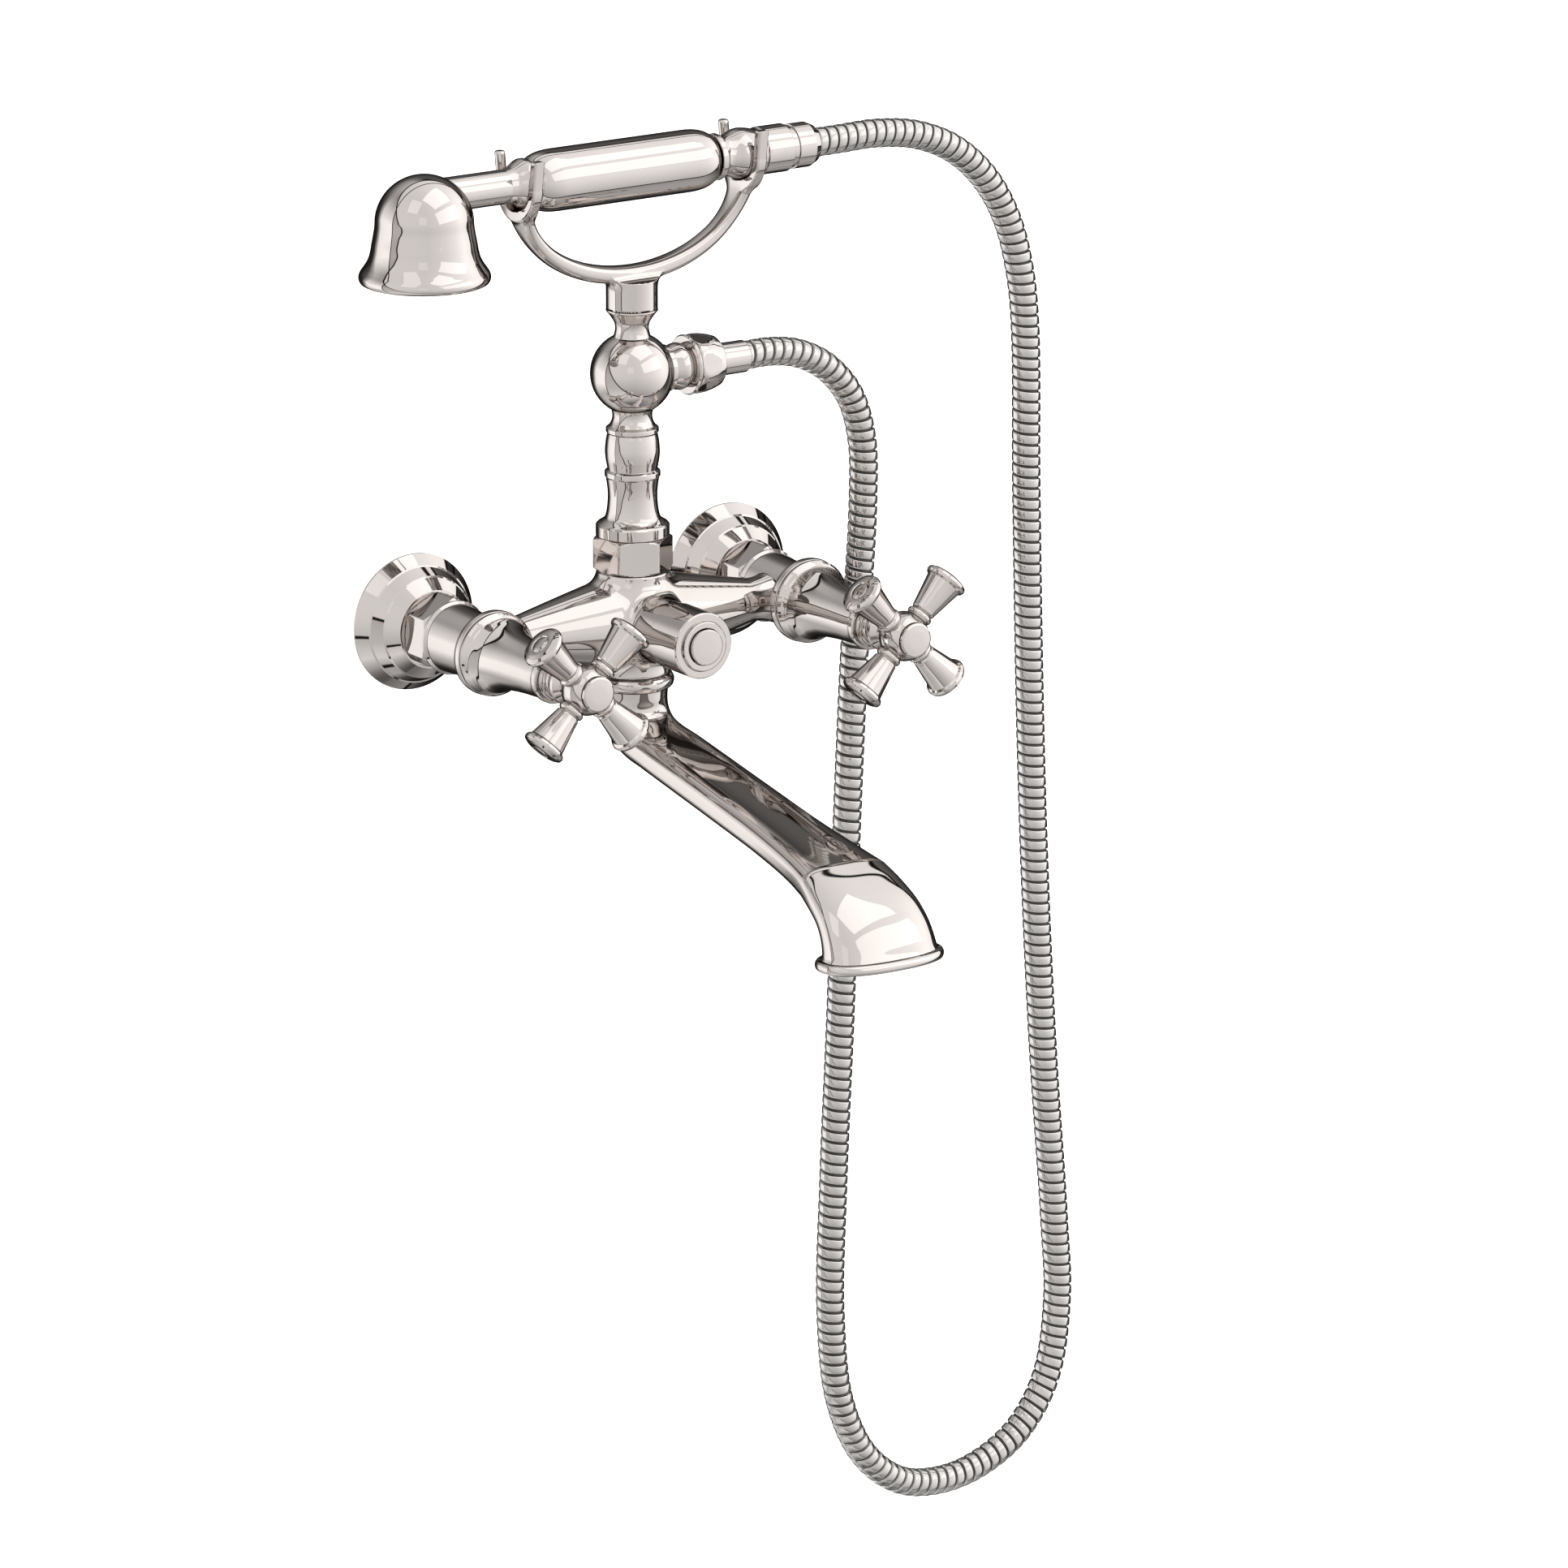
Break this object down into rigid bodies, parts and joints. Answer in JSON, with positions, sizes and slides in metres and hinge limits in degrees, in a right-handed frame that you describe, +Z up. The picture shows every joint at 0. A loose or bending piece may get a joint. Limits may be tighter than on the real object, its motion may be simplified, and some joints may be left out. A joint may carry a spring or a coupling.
{
  "type": "wall mounted bath faucet",
  "caption": "Wall mounted bath and shower mixer with cross handle valves, a swivelling spout, a diverter knob and a hand shower on a long metal hose.",
  "frame": {"origin": "on the finished wall, midway between the two supply inlets", "axes": "+X to the viewer's right along the wall, +Y into the wall, +Z up"},
  "size_m": [0.4582, 0.3354, 0.8054],
  "materials": {
    "nickel": "polished nickel plate, mirror bright",
    "hose_steel": "strip wound stainless steel, bright",
    "brass": "turned, uncoated",
    "steel": "plain stainless steel",
    "rubber": "matt black"
  },
  "bodies": {
    "root": {"left_wall_flange": "nickel", "left_supply_union": "brass", "left_union_washer": "rubber", "left_union_nut": "nickel", "left_valve_barrel": "nickel", "left_bonnet": "nickel", "left_cartridge": "brass", "right_wall_flange": "nickel", "right_supply_union": "brass", "right_union_washer": "rubber", "right_union_nut": "nickel", "right_valve_barrel": "nickel", "right_bonnet": "nickel", "right_cartridge": "brass", "mixer_body": "nickel", "diverter_gland": "brass", "diverter_spring": "steel", "spout_collar": "nickel", "spout_seal": "rubber", "riser_washer": "rubber", "riser_nut": "nickel", "riser_column": "nickel", "cradle_bow": "nickel", "left_cradle_fork": "nickel", "right_cradle_fork": "nickel", "cradle_screw": "steel", "hose_lower_washer": "rubber", "hose_lower_nut": "nickel", "hose_lower_ferrule": "nickel", "hose": "hose_steel"},
    "left_handle": {"left_stem": "brass", "left_handle_hub": "nickel", "left_handle_arm_a": "nickel", "left_handle_arm_b": "nickel", "left_handle_arm_c": "nickel", "left_handle_arm_d": "nickel", "left_handle_screw": "steel", "left_handle_cap": "nickel"},
    "right_handle": {"right_stem": "brass", "right_handle_hub": "nickel", "right_handle_arm_a": "nickel", "right_handle_arm_b": "nickel", "right_handle_arm_c": "nickel", "right_handle_arm_d": "nickel", "right_handle_screw": "steel", "right_handle_cap": "nickel"},
    "diverter": {"diverter_spool": "brass", "diverter_knob": "nickel", "diverter_button": "nickel"},
    "spout": {"spout": "nickel"},
    "handset": {"handset_bell": "nickel", "spray_plate": "nickel", "spray_plate_screw": "steel", "handset_neck": "nickel", "handset_grip": "nickel", "handset_core": "brass", "handset_tail": "nickel", "handset_thread": "brass", "hose_upper_ferrule": "nickel"}
  },
  "joints": [
    {"name": "left_handle_turn", "type": "hinge", "parent": "root", "child": "left_handle", "pos_m": [-0.1016, -0.15, 0], "axis": [0, 1, 0], "range_deg": [-90, 0]},
    {"name": "right_handle_turn", "type": "hinge", "parent": "root", "child": "right_handle", "pos_m": [0.1016, -0.15, 0], "axis": [0, 1, 0], "range_deg": [0, 90]},
    {"name": "diverter_pull", "type": "slide", "parent": "root", "child": "diverter", "axis": [0, -1, 0], "range_m": [0, 0.008], "stiffness_N_per_m": 400},
    {"name": "spout_swivel", "type": "hinge", "parent": "root", "child": "spout", "pos_m": [0, -0.0628, -0.0375], "axis": [0, 0, 1], "range_deg": [-60, 60]},
    {"name": "handset_lift", "type": "slide", "parent": "root", "child": "handset", "axis": [0, 0, 1], "range_m": [0, 0.06]}
  ]
}
